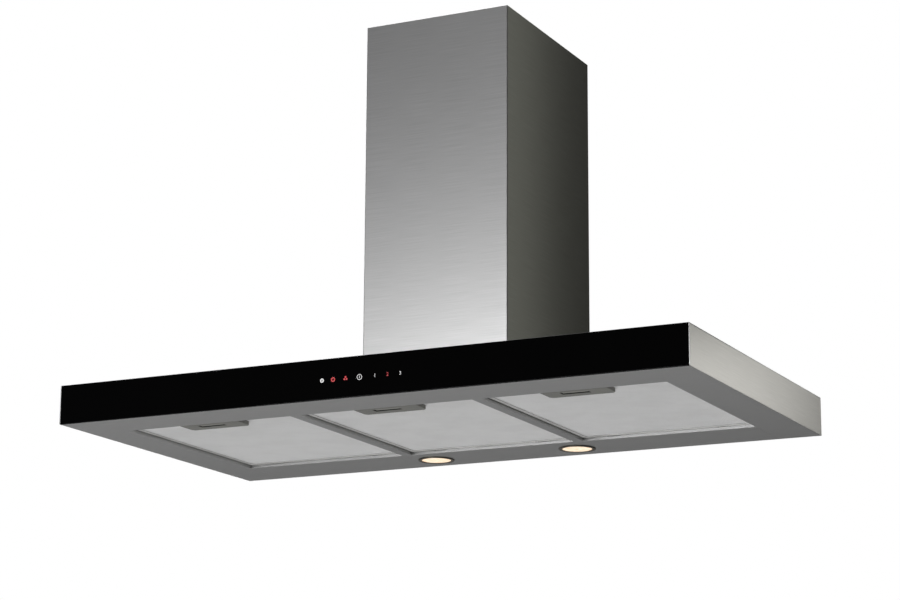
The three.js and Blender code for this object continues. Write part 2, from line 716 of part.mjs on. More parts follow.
// Strap round the capacitor, with a foot on the box's wall.
function capacitorClip() {
  const middle = capacitorLow + CAPACITOR.height / 2;
  const centre = capacitorCentre;
  const z = about(middle, CAPACITOR.clip);
  const inner = CAPACITOR.radius + GAP;
  const strap = tube("z", inner + SHEET, inner, z, centre);
  const foot = block(
    [clipFace, clipFace + SHEET],
    about(centre[1], CAPACITOR.radius * 2),
    z,
  );
  return cut(join(strap, foot), rod("z", inner, [z[0] - PAST, z[1] + PAST], centre));
}

// Spigot for the duct, on a square base, with a ledge that the flaps close on.
function outletCollar() {
  const centre = [0, outletY];
  const top = collarBase + OUTLET.height;
  const bore = OUTLET.radius - OUTLET.wall;
  const base = block(
    about(0, 2 * collarHalf),
    about(outletY, 2 * collarHalf),
    [collarBase, collarBase + OUTLET.baseThick],
  );
  const spigot = tube("z", OUTLET.radius, bore, [collarBase, top], centre);
  const ledge = tube("z", OUTLET.radius, bore - OUTLET.ledge, [flapLedge - SHEET, flapLedge], centre);
  const pinHoles = rod("x", FLAP.pin + GAP, about(0, 3 * OUTLET.radius), [outletY, pinZ], SMALL_SIDES);
  const way = outletWay([collarBase - PAST, collarBase + OUTLET.baseThick + PAST]);
  return cut(join(base, spigot, ledge), way, pinHoles);
}

// side is -1 for the front flap and 1 for the rear one. Both turn on the pin across the spigot.
function damperFlap(side) {
  const radius = OUTLET.radius - OUTLET.wall - FLAP.slip;
  const low = flapLedge + GAP;
  const disc = rod("z", radius, [low, low + FLAP.thickness], [0, outletY]);
  const far = radius + PAST;
  const keep = block([-far, far], span(outletY + side * GAP, outletY + side * far), [low - PAST, pinZ]);
  const hubs = [-2, -1, 0, 1].map((slot) => {
    const start = slot * FLAP.knuckleLength * 2 + (side > 0 ? FLAP.knuckleLength : 0);
    return [start + FLAP.hubGap / 2, start + FLAP.knuckleLength - FLAP.hubGap / 2];
  });
  const axis = [outletY, pinZ];
  const knuckles = hubs.map((x) => rod("x", FLAP.knuckle, x, axis, KNUCKLE_SIDES));
  const reliefs = hubs.map(([a, b]) => {
    const shift = side > 0 ? -FLAP.knuckleLength : FLAP.knuckleLength;
    const room = [a + shift - FLAP.hubGap / 2, b + shift + FLAP.hubGap / 2];
    return rod("x", FLAP.knuckle + FLAP.relief, room, axis, KNUCKLE_SIDES);
  });
  const bore = rod("x", FLAP.pin + GAP, [-far, far], axis, SMALL_SIDES);
  return cut(join(disc.intersect(keep), ...knuckles), ...reliefs, bore);
}

function damperPin() {
  const half = OUTLET.radius - GAP;
  return rod("x", FLAP.pin, [-half, half], [outletY, pinZ], SMALL_SIDES);
}

// ---------------------------------------------------------------- electrics

const junctionY = [blowerFront + JUNCTION.fromFront, outletY - collarHalf - JUNCTION.fromCollar];

function junctionBox() {
  const z = [blowerTop + GAP, blowerTop + GAP + JUNCTION.height];
  const x = about(0, JUNCTION.width);
  const inset = (range) => [range[0] + JUNCTION.wall, range[1] - JUNCTION.wall];
  const hollow = block(inset(x), inset(junctionY), [z[0] + JUNCTION.wall, z[1] + PAST]);
  const wallWay = [x[1] - 2 * JUNCTION.wall, x[1] + PAST];
  const hole = rod("x", GLAND.thread + GAP, wallWay, glandCentre(), SMALL_SIDES);
  return cut(block(x, junctionY, z), hollow, hole);
}

function glandCentre() {
  return [(junctionY[0] + junctionY[1]) / 2, blowerTop + GAP + JUNCTION.height / 2];
}

function junctionLid() {
  const low = blowerTop + 2 * GAP + JUNCTION.height;
  return block(about(0, JUNCTION.width), junctionY, [low, low + JUNCTION.lid]);
}

// Where the supply lead enters.
function cableGland() {
  const x = JUNCTION.width / 2;
  const centre = glandCentre();
  const ends = [x - GLAND.inside, x + GLAND.outside];
  const nut = rod("x", GLAND.nut, [x + GAP, x + GAP + GLAND.nutLength], centre, HEX);
  const thread = tube("x", GLAND.thread, GLAND.bore, ends, centre, SMALL_SIDES);
  const bore = rod("x", GLAND.bore, ends, centre, SMALL_SIDES);
  return join(cut(nut, bore), thread);
}

const moduleY = [-MODULE.fromWall - MODULE.depth, -MODULE.fromWall];

function controlModule() {
  const z = [MODULE.lift, MODULE.lift + MODULE.height];
  const x = about(MODULE.x, MODULE.width);
  const inset = (range) => [range[0] + MODULE.wall, range[1] - MODULE.wall];
  const hollow = block(inset(x), inset(moduleY), [z[0] + MODULE.wall, z[1] + PAST]);
  return cut(block(x, moduleY, z), hollow);
}

function controlModuleLid() {
  const low = MODULE.lift + MODULE.height + GAP;
  return block(about(MODULE.x, MODULE.width), moduleY, [low, low + MODULE.lid]);
}

// ---------------------------------------------------------------- wall fixings

// Keyhole plate behind each access hole in the canopy's back, with a shelf for the levelling screw.
function hangerPlate(side) {
  const x = side * HANGER.x;
  const z = [hangerLow, hangerLow + HANGER.height];
  const through = [hangerFace - 2 * HANGER.thickness, hangerFace + HANGER.thickness];
  const plate = block(about(x, HANGER.width), [hangerFace - HANGER.thickness, hangerFace], z);
  const shelf = block(
    about(screwPlace(side)[0], 2 * LEVEL_SCREW.shelf),
    [hangerFace - 2 * LEVEL_SCREW.shelf, hangerFace],
    [z[0], z[0] + HANGER.thickness],
  );
  const eye = rod("y", KEYHOLE.eye, through, [x, hangerMiddle - KEYHOLE.length / 2]);
  const neck = block(about(x, 2 * KEYHOLE.neck), through, about(hangerMiddle, KEYHOLE.length));
  const shelfWay = [z[0] - PAST, z[1]];
  const screwHole = rod("z", LEVEL_SCREW.radius + GAP, shelfWay, screwPlace(side), SMALL_SIDES);
  return cut(join(plate, shelf), eye, neck, screwHole);
}

function screwPlace(side) {
  const x = side * (HANGER.x + HANGER.width / 2 - LEVEL_SCREW.shelf);
  return [x, hangerFace - HANGER.thickness - LEVEL_SCREW.shelf];
}

function levelScrew(side) {
  const shelfTop = hangerLow + HANGER.thickness;
  const place = screwPlace(side);
  const long = [shelfTop - LEVEL_SCREW.below, shelfTop + LEVEL_SCREW.above];
  const shank = rod("z", LEVEL_SCREW.radius, long, place, SMALL_SIDES);
  const headLow = shelfTop + GAP;
  const head = rod("z", LEVEL_SCREW.headRadius, [headLow, headLow + LEVEL_SCREW.head], place, HEX);
  return join(shank, head);
}

// ---------------------------------------------------------------- assembly

const canopy = group(hood);
piece(canopy, "canopy_shell", canopyShell(), FINISH.brushedSteel);
piece(canopy, "underside_frame", undersideFrame(), FINISH.brushedSteel);
piece(canopy, "lamp_panel", lampPanel(), FINISH.brushedSteel);
["left", "right"].forEach((name, i) => {
  const side = group(canopy, firstBay + (i + 0.5) * bayPitch);
  piece(side, `divider_${name}`, divider(), FINISH.brushedSteel);
});
piece(canopy, "glass_fascia", glassFascia(), FINISH.blackGlass);
piece(canopy, "fascia_tape_lower", fasciaTape(TAPE.inset), FINISH.foamTape);
piece(canopy, "fascia_tape_upper", fasciaTape(HEIGHT - TAPE.inset - TAPE.width), FINISH.foamTape);
piece(canopy, "fascia_carrier", fasciaCarrier(), FINISH.galvanised);
piece(canopy, "touch_control_board", touchBoard(), FINISH.circuitBoard);
piece(canopy, "control_module", controlModule(), FINISH.blackPlastic);
piece(canopy, "control_module_lid", controlModuleLid(), FINISH.blackPlastic);

bays((x, i) => {
  const bay = group(canopy, x, opening.front);
  const name = `filter_${i + 1}`;
  piece(bay, `${name}_frame`, filterFrame(), FINISH.aluminium);
  piece(bay, `${name}_mesh`, filterMesh(), FINISH.aluminium);
  piece(bay, `${name}_handle`, filterHandle(), FINISH.greyPlastic);
  piece(bay, `${name}_latch`, filterLatch(), FINISH.greyPlastic);
  piece(bay, `${name}_latch_spring`, filterSpring(), FINISH.darkSteel);
});

for (const [name, side] of [["left", -1], ["right", 1]]) {
  const lamp = group(canopy, side * LAMP.x, -LAMP.fromWall);
  piece(lamp, `lamp_${name}_bezel`, lampBezel(), FINISH.darkSteel);
  piece(lamp, `lamp_${name}_lens`, lampLens(), FINISH.lampLens);
  piece(lamp, `lamp_${name}_led_module`, ledModule(), FINISH.aluminium);
  piece(canopy, `hanger_plate_${name}`, hangerPlate(side), FINISH.galvanised);
  piece(canopy, `level_screw_${name}`, levelScrew(side), FINISH.darkSteel);
}

const chimney = group(hood);
piece(chimney, "chimney_lower_cover", lowerCover(), FINISH.brushedSteel);
piece(chimney, "chimney_upper_cover", upperCover(), FINISH.brushedSteel);
piece(chimney, "chimney_wall_bracket", flueBracket(), FINISH.galvanised);

const blower = group(hood);
piece(blower, "blower_box", blowerBox(), FINISH.galvanised);
piece(blower, "scroll_left", scrollHalf(-1), FINISH.blackPlastic);
piece(blower, "scroll_right", scrollHalf(1), FINISH.blackPlastic);
piece(blower, "impeller", impeller(), FINISH.whitePlastic);
piece(blower, "motor_shaft", motorShaft(), FINISH.darkSteel);
piece(blower, "motor", motor(), FINISH.galvanised);
piece(blower, "motor_bracket", motorBracket(), FINISH.darkSteel);
for (let i = 0; i < ARM.count; i += 1) {
  piece(blower, `motor_bush_${i + 1}`, motorBush(i), FINISH.rubber);
}
piece(blower, "motor_capacitor", capacitor(), FINISH.whitePlastic);
piece(blower, "capacitor_clip", capacitorClip(), FINISH.galvanised);
piece(blower, "outlet_collar", outletCollar(), FINISH.blackPlastic);
piece(blower, "damper_flap_front", damperFlap(-1), FINISH.blackPlastic);
piece(blower, "damper_flap_rear", damperFlap(1), FINISH.blackPlastic);
piece(blower, "damper_pin", damperPin(), FINISH.darkSteel);
piece(blower, "junction_box", junctionBox(), FINISH.blackPlastic);
piece(blower, "junction_box_lid", junctionLid(), FINISH.blackPlastic);
piece(blower, "cable_gland", cableGland(), FINISH.blackPlastic);

hood.position.z = -HEIGHT / 2;

export default hood;
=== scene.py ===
"""The looks of a wall-mounted range hood: brushed steel canopy and chimney, black glass fascia with touch
symbols, expanded-aluminium grease filters, warm lamps, and the blower inside the chimney.
Lengths are written in millimetres and turned to metres by MM. +X is to the right and the front faces -Y."""

import json
import math

import bmesh
import bpy
from mathutils import Matrix, Vector


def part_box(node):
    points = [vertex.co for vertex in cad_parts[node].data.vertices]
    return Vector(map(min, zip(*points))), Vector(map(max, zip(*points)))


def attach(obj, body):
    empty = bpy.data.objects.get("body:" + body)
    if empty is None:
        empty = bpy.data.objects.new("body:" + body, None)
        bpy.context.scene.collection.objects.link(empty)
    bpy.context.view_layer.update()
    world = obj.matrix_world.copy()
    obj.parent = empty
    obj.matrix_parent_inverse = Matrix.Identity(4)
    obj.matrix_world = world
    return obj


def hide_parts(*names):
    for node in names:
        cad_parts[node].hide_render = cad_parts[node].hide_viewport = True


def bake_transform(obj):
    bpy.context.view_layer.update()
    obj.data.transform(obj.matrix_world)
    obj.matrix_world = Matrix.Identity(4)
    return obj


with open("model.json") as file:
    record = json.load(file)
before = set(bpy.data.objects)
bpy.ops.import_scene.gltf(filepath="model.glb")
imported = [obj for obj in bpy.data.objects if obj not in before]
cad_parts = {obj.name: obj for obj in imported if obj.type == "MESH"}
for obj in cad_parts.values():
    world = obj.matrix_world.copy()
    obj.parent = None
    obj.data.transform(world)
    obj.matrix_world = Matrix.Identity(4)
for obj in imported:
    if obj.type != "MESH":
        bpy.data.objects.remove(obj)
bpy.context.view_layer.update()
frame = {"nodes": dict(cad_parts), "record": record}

MM = 0.001
NODES = frame["nodes"]
FOLD_RADIUS = 1.6  # outer radius of a bend in the 1 mm sheet
EDGE_ANGLE = math.radians(35)  # an edge that turns by more than this has its corner broken
SMOOTH_ANGLE = math.radians(38)  # faces that meet at less than this are shaded as one
TOUCHING = 0.01 * MM
ON_FACE = 0.1 * MM
SYMBOL_THICKNESS = 0.1
END_PLAY = 0.2  # what the finger button keeps from the end of its slot
HAIRLINE_WIDTH, HAIRLINE_LENGTH = 0.5, 60
PLASTIC_IOR = GLASS_IOR = 1.5


# ------------------------------------------------------------------ colour and node helpers


def linear(hex_colour):
    """A six-digit sRGB hex value as linear RGBA."""
    channels = [int(hex_colour[i : i + 2], 16) / 255 for i in (0, 2, 4)]
    curved = [c / 12.92 if c <= 0.04045 else ((c + 0.055) / 1.055) ** 2.4 for c in channels]
    return (*curved, 1.0)


def add(tree, kind, settings=None, inputs=None):
    """Adds a node. An input's value is a plain value, or another node's output to link to."""
    made = tree.nodes.new(kind)
    for name, value in (settings or {}).items():
        setattr(made, name, value)
    for name, value in (inputs or {}).items():
        if isinstance(value, bpy.types.NodeSocket):
            tree.links.new(value, made.inputs[name])
        else:
            made.inputs[name].default_value = value
    return made


def new_material(name):
    """An empty material and its tree, with an output node."""
    material = bpy.data.materials.new(name)
    material.use_nodes = True
    material.node_tree.nodes.clear()
    return material, material.node_tree


def close_material(tree, shader):
    add(tree, "ShaderNodeOutputMaterial", None, {"Surface": shader.outputs[0]})


def shades(tree, factor, stops):
    """A colour ramp from [position, sRGB hex] stops."""
    ramp = add(tree, "ShaderNodeValToRGB", None, {"Fac": factor})
    elements = ramp.color_ramp.elements
    while len(elements) < len(stops):
        elements.new(0.5)
    for element, (position, colour) in zip(elements, stops):
        element.position = position
        element.color = linear(colour)
    return ramp.outputs["Color"]


def spread(tree, factor, low, high):
    """Maps a 0 to 1 pattern to a range of values."""
    made = add(tree, "ShaderNodeMapRange", None, {"Value": factor, "To Min": low, "To Max": high})
    return made.outputs["Result"]


def object_place(tree):
    """Where a point lies on its own piece, in metres."""
    return add(tree, "ShaderNodeTexCoord").outputs["Object"]


def noise(tree, place, size, detail=2.0):
    """A 0 to 1 noise with patches about size millimetres across."""
    inputs = {"Vector": place, "Scale": 1 / (size * MM), "Detail": detail}
    return add(tree, "ShaderNodeTexNoise", None, inputs).outputs["Fac"]


def relief(tree, height, strength, depth):
    """The normal of a surface with bumps depth millimetres high."""
    inputs = {"Strength": strength, "Distance": depth * MM, "Height": height}
    return add(tree, "ShaderNodeBump", None, inputs).outputs[0]


def surface(tree, inputs):
    """Closes a material with a principled shader."""
    close_material(tree, add(tree, "ShaderNodeBsdfPrincipled", None, inputs))


# ------------------------------------------------------------------ materials


def brushed_stainless(name, low, high, roughness):
    """AISI 430 stainless, belt-brushed along the sheet: parallel hairlines that smear a reflection.
    They run along X, and along Y on the faces that look sideways. Real hairlines are about 0.1 mm
    wide; these are 0.5 mm, the finest that still shows."""
    material, tree = new_material(name)
    place = object_place(tree)
    normal = add(tree, "ShaderNodeNewGeometry").outputs["Normal"]
    sideways = add(tree, "ShaderNodeSeparateXYZ", None, {"Vector": normal}).outputs["X"]
    size = add(tree, "ShaderNodeMath", {"operation": "ABSOLUTE"}, {0: sideways}).outputs[0]
    choice = add(tree, "ShaderNodeMath", {"operation": "GREATER_THAN"}, {0: size, 1: 0.5}).outputs[0]
    across, along = 1 / (HAIRLINE_WIDTH * MM), 1 / (HAIRLINE_LENGTH * MM)
    lines = []
    for stretch in ((along, across, across), (across, along, across)):
        run = add(tree, "ShaderNodeMapping", None, {"Vector": place, "Scale": stretch}).outputs[0]
        line = add(tree, "ShaderNodeTexNoise", None, {"Vector": run, "Scale": 1.0, "Detail": 3.0})
        lines.append(line.outputs["Fac"])
    either = {"Factor": choice, "A": lines[0], "B": lines[1]}
    hairline = add(tree, "ShaderNodeMix", None, either).outputs["Result"]
    cloud = spread(tree, noise(tree, place, 180), -0.04, 0.04)
    mixed = add(tree, "ShaderNodeMath", {"operation": "ADD"}, {0: hairline, 1: cloud}).outputs[0]
    surface(
        tree,
        {
            "Base Color": shades(tree, mixed, [(0.3, low), (0.7, high)]),
            "Metallic": 1.0,
            "Roughness": spread(tree, mixed, roughness - 0.02, roughness + 0.02),
            "Normal": relief(tree, hairline, 0.08, 0.01),
        },
    )
    return material


def toughened_black_glass():
    """Toughened glass, printed black behind: deep black with a thin clear reflection and a few faint
    smears."""
    material, tree = new_material("toughened_black_glass")
    smear = noise(tree, object_place(tree), 90, 4.0)
    surface(
        tree,
        {
            "Base Color": shades(tree, smear, [(0.0, "010101"), (1.0, "020202")]),
            "Roughness": spread(tree, smear, 0.02, 0.07),
            "IOR": GLASS_IOR,
            "Specular IOR Level": 0.12,
        },
    )
    return material


def hot_dip_galvanised():
    """Hot-dip galvanised sheet: dull zinc crystals of 8 to 15 mm, each a slightly different grey."""
    material, tree = new_material("hot_dip_galvanised_steel")
    place = object_place(tree)
    bend = add(tree, "ShaderNodeTexNoise", None, {"Vector": place, "Scale": 1 / (9 * MM), "Detail": 2.0})
    shifted = add(
        tree,
        "ShaderNodeVectorMath",
        {"operation": "MULTIPLY_ADD"},
        {0: bend.outputs["Color"], 1: (4 * MM,) * 3, 2: place},
    )
    cells = {"Vector": shifted.outputs[0], "Scale": 1 / (12 * MM)}
    crystal = add(tree, "ShaderNodeTexVoronoi", None, cells)
    tone = add(tree, "ShaderNodeSeparateColor", None, {"Color": crystal.outputs["Color"]}).outputs[0]
    surface(
        tree,
        {
            "Base Color": shades(tree, tone, [(0.0, "8d9295"), (0.5, "a2a6a8"), (1.0, "b9bcbd")]),
            "Metallic": 1.0,
            "Roughness": spread(tree, tone, 0.38, 0.56),
            "Normal": relief(tree, noise(tree, place, 0.8), 0.15, 0.02),
        },
    )
    return material


def moulded_plastic(name, low, high, roughness, grain):
    """Moulded plastic or rubber: an even colour with the fine spark-eroded grain of the mould."""
    material, tree = new_material(name)
    place = object_place(tree)
    texture = noise(tree, place, grain)
    surface(
        tree,
        {
            "Base Color": shades(tree, noise(tree, place, 30), [(0.35, low), (0.65, high)]),
            "Roughness": spread(tree, texture, roughness - 0.06, roughness + 0.06),
            "IOR": PLASTIC_IOR,
            "Normal": relief(tree, texture, 0.2, 0.03),
        },
    )
    return material


def bare_metal(name, low, high, roughness, grain):
    """Machined, drawn or plated metal: slightly uneven grey with a fine tooth."""
    material, tree = new_material(name)
    place = object_place(tree)
    tooth = noise(tree, place, grain, 3.0)
    surface(
        tree,
        {
            "Base Color": shades(tree, noise(tree, place, 40), [(0.35, low), (0.65, high)]),
            "Metallic": 1.0,
            "Roughness": spread(tree, tooth, roughness - 0.08, roughness + 0.08),
            "Normal": relief(tree, tooth, 0.2, 0.02),
        },
    )
    return material


def glowing(name, own_colour, light, strength):
    """A lit symbol or lens: its own pale surface, with the light behind it."""
    material, tree = new_material(name)
    dim, bright = light
    patch = noise(tree, object_place(tree), 7)
    surface(
        tree,
        {
            "Base Color": linear(own_colour),
            "Roughness": 0.35,
            "Emission Color": shades(tree, patch, [(0.3, dim), (0.7, bright)]),
            "Emission Strength": strength,
        },
    )
    return material


canopy_steel = brushed_stainless("belt_brushed_stainless_canopy", "aaaaaa", "b9b9b9", 0.36)
chimney_steel = brushed_stainless("belt_brushed_stainless_chimney", "aaaaaa", "b9b9b9", 0.32)
black_glass = toughened_black_glass()
galvanised = hot_dip_galvanised()
filter_mesh_metal = bare_metal("expanded_aluminium", "fafafa", "fefefe", 0.66, 0.6)
filter_wool_metal = bare_metal("flattened_aluminium_wool", "f2f2f2", "f8f8f8", 0.72, 1.4)
filter_frame_metal = bare_metal("rolled_aluminium", "dcdcda", "e8e8e6", 0.42, 1.2)
heatsink_metal = bare_metal("extruded_aluminium", "a8a9aa", "bdbebf", 0.4, 0.8)
zinc_plate = bare_metal("bright_zinc_plate", "b5bac0", "cfd3d6", 0.24, 0.8)
machined_steel = bare_metal("machined_steel", "85878a", "a3a5a7", 0.3, 0.5)
satin_nickel = bare_metal("satin_nickel_plate", "5b574f", "7a756a", 0.3, 0.4)
handle_plastic = moulded_plastic("grey_abs", "70706b", "787872", 0.48, 0.5)
latch_plastic = moulded_plastic("light_grey_abs", "85857e", "8f8f88", 0.45, 0.5)
# this black material is also used as painted shade in the handles' finger slots
black_plastic_and_slot_shade = moulded_plastic("black_polypropylene_and_painted_slot_shade", "131314", "1b1b1c", 0.5, 0.6)
white_plastic = moulded_plastic("natural_polypropylene", "cfccc2", "dbd8cf", 0.45, 0.8)
rubber = moulded_plastic("epdm_rubber", "141414", "1e1e1d", 0.75, 0.4)
foam_tape = moulded_plastic("acrylic_foam_tape", "222222", "2c2c2c", 0.85, 0.3)
solder_mask = moulded_plastic("fr4_solder_mask", "14482a", "1b5a35", 0.38, 0.5)
lamp_light = glowing("lit_polycarbonate_lens", "e8dcc8", ("dda774", "fff2dc"), 0.86)
symbol_white = glowing("lit_white_print", "9c9c9c", ("bcbcbc", "cacaca"), 0.8)
symbol_red = glowing("lit_red_print", "5a0a0c", ("b0121a", "c8202a"), 0.8)


# ------------------------------------------------------------------ making pieces


def body_of(node):
    for body, members in frame["record"]["behaviour"]["bodies"].items():
        if node in members:
            return body
    raise ValueError(node)


def piece_from(name, bm, materials):
    """A mesh object at the origin from finished bmesh work."""
    mesh = bpy.data.meshes.new(name)
    bm.to_mesh(mesh)
    bm.free()
    made = bpy.data.objects.new(name, mesh)
    bpy.context.scene.collection.objects.link(made)
    for material in materials:
        mesh.materials.append(material)
    return made


def bake_modifiers(piece):
    """Turns a piece's modifiers into plain mesh."""
    graph = bpy.context.evaluated_depsgraph_get()
    finished = bpy.data.meshes.new_from_object(piece.evaluated_get(graph))
    piece.modifiers.clear()
    piece.data = finished
    return finished


def settle(piece):
    """Bakes a piece's modifiers, then smooths its round faces and keeps its flat ones flat."""
    finished = bake_modifiers(piece)
    finished.polygons.foreach_set("use_smooth", [True] * len(finished.polygons))
    finished.set_sharp_from_angle(angle=SMOOTH_ANGLE)
    weighted = piece.modifiers.new("weighted_normals", "WEIGHTED_NORMAL")
    weighted.weight = 100
    weighted.keep_sharp = True
    bake_modifiers(piece)
    return piece


def stand_for(piece, node):
    """The piece takes the place of a CAD node, on its body."""
    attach(piece, body_of(node))
    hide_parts(node)


def joined_copy(node):
    """The node's surface as a bmesh with shared corners and whole faces, each of them convex."""
    bm = bmesh.new()
    bm.from_mesh(NODES[node].data)
    bmesh.ops.remove_doubles(bm, verts=bm.verts, dist=0.002 * MM)
    bmesh.ops.dissolve_limit(bm, angle_limit=math.radians(0.8), verts=bm.verts, edges=bm.edges)
    bmesh.ops.connect_verts_concave(bm, faces=bm.faces)
    return bm


def finished_copy(node, material, edge):
    """The node's own shape with its edges broken by a small radius. A bend in the sheet gets the bend's
    outer radius instead, and a piece with a trim is cut back by it first."""
    bm = joined_copy(node)
    lowest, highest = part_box(node)
    if node in TRIMS:
        TRIMS[node](bm, lowest)
    is_fold = FOLDS.get(node)
    weight = bm.edges.layers.float.new("bevel_weight_edge")
    for one in bm.edges:
        if one.is_manifold and one.calc_face_angle() > EDGE_ANGLE:
            bent = is_fold is not None and is_fold(lowest, highest, *(v.co for v in one.verts))
            one[weight] = 1.0 if bent else edge / FOLD_RADIUS
    piece = piece_from(f"{node}_finished", bm, [material])
    bevel = piece.modifiers.new("edges", "BEVEL")
    bevel.width = FOLD_RADIUS * MM
    bevel.segments = 3
    bevel.limit_method = "WEIGHT"
    bevel.use_clamp_overlap = False
    settle(piece)
    for vert in piece.data.vertices:
        vert.co = [min(max(v, low), high) for v, low, high in zip(vert.co, lowest, highest)]
    if node.endswith("latch_spring"):
        stretch_spring(piece, node)
    else:
        stand_for(piece, node)


def stretch_spring(piece, node):
    """The spring's piece stays where it is, on no body, and its CAD node is hidden."""
    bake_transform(piece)
    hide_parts(node)


def make_room_for_print(bm, lowest):
    """Sets the glass back by the thickness of the symbols printed on it."""
    for vert in bm.verts:
        if vert.co.y < lowest[1] + TOUCHING:
            vert.co.y += SYMBOL_THICKNESS * MM


def free_button(bm, lowest):
    """Keeps the finger button just clear of the end of its slot."""
    button = [vert for vert in bm.verts if vert.co.z < lowest[2] + TOUCHING]
    rear = max(vert.co.y for vert in button)
    for vert in bm.verts:
        if abs(vert.co.y - rear) < TOUCHING:
            vert.co.y -= END_PLAY * MM


def upright_front_fold(lowest, highest, a, b):
    """The two upright bends at the front of a chimney cover, on its outer face."""
    upright = abs(a.z - b.z) > 100 * MM
    return upright and abs(abs(a.x) - highest[0]) < ON_FACE and abs(a.y - lowest[1]) < ON_FACE


def canopy_fold(lowest, highest, a, b):
    """The bends along the canopy's top edges and up its back corners."""
    side = all(abs(abs(v.x) - highest[0]) < ON_FACE for v in (a, b))
    top = all(abs(v.z - highest[2]) < ON_FACE for v in (a, b))
    back = all(abs(v.y - highest[1]) < ON_FACE for v in (a, b))
    return (side and top) or (back and top) or (side and back)


# each node's material and the radius of its broken edges in millimetres
FINISHES = {
    "canopy_shell": (canopy_steel, 0.3),
    "underside_frame": (canopy_steel, 0.3),
    "lamp_panel": (canopy_steel, 0.3),
    "divider_left": (canopy_steel, 0.3),
    "divider_right": (canopy_steel, 0.3),
    "chimney_lower_cover": (chimney_steel, 0.3),
    "chimney_upper_cover": (chimney_steel, 0.3),
    "glass_fascia": (black_glass, 0.6),
    "fascia_tape_lower": (foam_tape, 0.2),
    "fascia_tape_upper": (foam_tape, 0.2),
    "fascia_carrier": (galvanised, 0.2),
    "touch_control_board": (solder_mask, 0.2),
    "control_module": (black_plastic_and_slot_shade, 0.6),
    "control_module_lid": (black_plastic_and_slot_shade, 0.5),
    "hanger_plate_left": (galvanised, 0.3),
    "hanger_plate_right": (galvanised, 0.3),
    "level_screw_left": (zinc_plate, 0.3),
    "level_screw_right": (zinc_plate, 0.3),
    "chimney_wall_bracket": (galvanised, 0.3),
    "blower_box": (galvanised, 0.3),
    "scroll_left": (black_plastic_and_slot_shade, 0.5),
    "scroll_right": (black_plastic_and_slot_shade, 0.5),
    "impeller": (white_plastic, 0.2),
    "motor_shaft": (machined_steel, 0.4),
    "motor": (galvanised, 1.5),
    "motor_bracket": (machined_steel, 0.4),
    "motor_bush_1": (rubber, 0.6),
    "motor_bush_2": (rubber, 0.6),
    "motor_bush_3": (rubber, 0.6),
    "motor_capacitor": (white_plastic, 1.0),
    "capacitor_clip": (galvanised, 0.2),
    "outlet_collar": (black_plastic_and_slot_shade, 0.4),
    "damper_flap_front": (black_plastic_and_slot_shade, 0.3),
    "damper_flap_rear": (black_plastic_and_slot_shade, 0.3),
    "damper_pin": (zinc_plate, 0.3),
    "junction_box": (black_plastic_and_slot_shade, 0.8),
    "junction_box_lid": (black_plastic_and_slot_shade, 0.6),
    "cable_gland": (black_plastic_and_slot_shade, 0.5),
}
for side in ("left", "right"):
    FINISHES[f"lamp_{side}_bezel"] = (satin_nickel, 0.3)
    FINISHES[f"lamp_{side}_lens"] = (lamp_light, 0.2)
    FINISHES[f"lamp_{side}_led_module"] = (heatsink_metal, 0.3)
for number in (1, 2, 3):
    FINISHES[f"filter_{number}_frame"] = (filter_frame_metal, 0.2)
    FINISHES[f"filter_{number}_handle"] = (handle_plastic, 0.6)
    FINISHES[f"filter_{number}_latch"] = (latch_plastic, 0.4)
    FINISHES[f"filter_{number}_latch_spring"] = (zinc_plate, 0.05)

FOLDS = {
    "canopy_shell": canopy_fold,
    "chimney_lower_cover": upright_front_fold,
    "chimney_upper_cover": upright_front_fold,
}
TRIMS = {"glass_fascia": make_room_for_print}
TRIMS.update({f"filter_{number}_latch": free_button for number in (1, 2, 3)})

for node, (material, edge) in FINISHES.items():
    finished_copy(node, material, edge)


def paint_shade_black(node, is_shaded):
    """Paints shade: gives the faces of a recess, told by their middle, a black plastic that stands in for
    the recess's shadow, while the real recess is the piece's own plastic.
    """
    mesh = bpy.data.objects[f"{node}_finished"].data
    mesh.materials.append(black_plastic_and_slot_shade)
    for polygon in mesh.polygons:
        if is_shaded(polygon.center):
            polygon.material_index = 1


BUTTON_FACE = 0.35  # depth of the finger button's pale face and edge; the latch's faces above it are painted black as the shade of the gap round the button
SLOT_HALF_WIDTH = 23  # the painted black slot shade lies this near the handle's middle, between these distances from its front, and inside its lower and upper faces by these
SLOT_FRONT, SLOT_REAR = 5, 22  # between these distances from its front,
SLOT_FACE, SLOT_ROOF = 0.8, 1  # and inside its lower and upper faces by these


def paint_shade_in_finger_slots():
    """Painted shade: the faces inside each handle's finger slot, and the latch's sides above its button
    face, are made black and stand in for the shadow in the gap all round each finger button.
    """
    for number in (1, 2, 3):
        handle, latch = f"filter_{number}_handle", f"filter_{number}_latch"
        button_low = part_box(latch)[0][2] + BUTTON_FACE * MM
        # painted shade: the latch's faces above its pale button face turn black as the gap's shadow
        paint_shade_black(latch, lambda middle: middle.z > button_low)
        lowest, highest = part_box(handle)
        x = (lowest[0] + highest[0]) / 2

        def in_slot(middle):
            near = abs(middle.x - x) < SLOT_HALF_WIDTH * MM
            behind = lowest[1] + SLOT_FRONT * MM < middle.y < lowest[1] + SLOT_REAR * MM
            inside = lowest[2] + SLOT_FACE * MM < middle.z < highest[2] - SLOT_ROOF * MM
            return near and behind and inside

        # painted shade: the handle's faces inside the finger slot turn black as the slot's shadow
        paint_shade_black(handle, in_slot)


paint_shade_in_finger_slots()


# ------------------------------------------------------------------ pieces made by Geometry Nodes


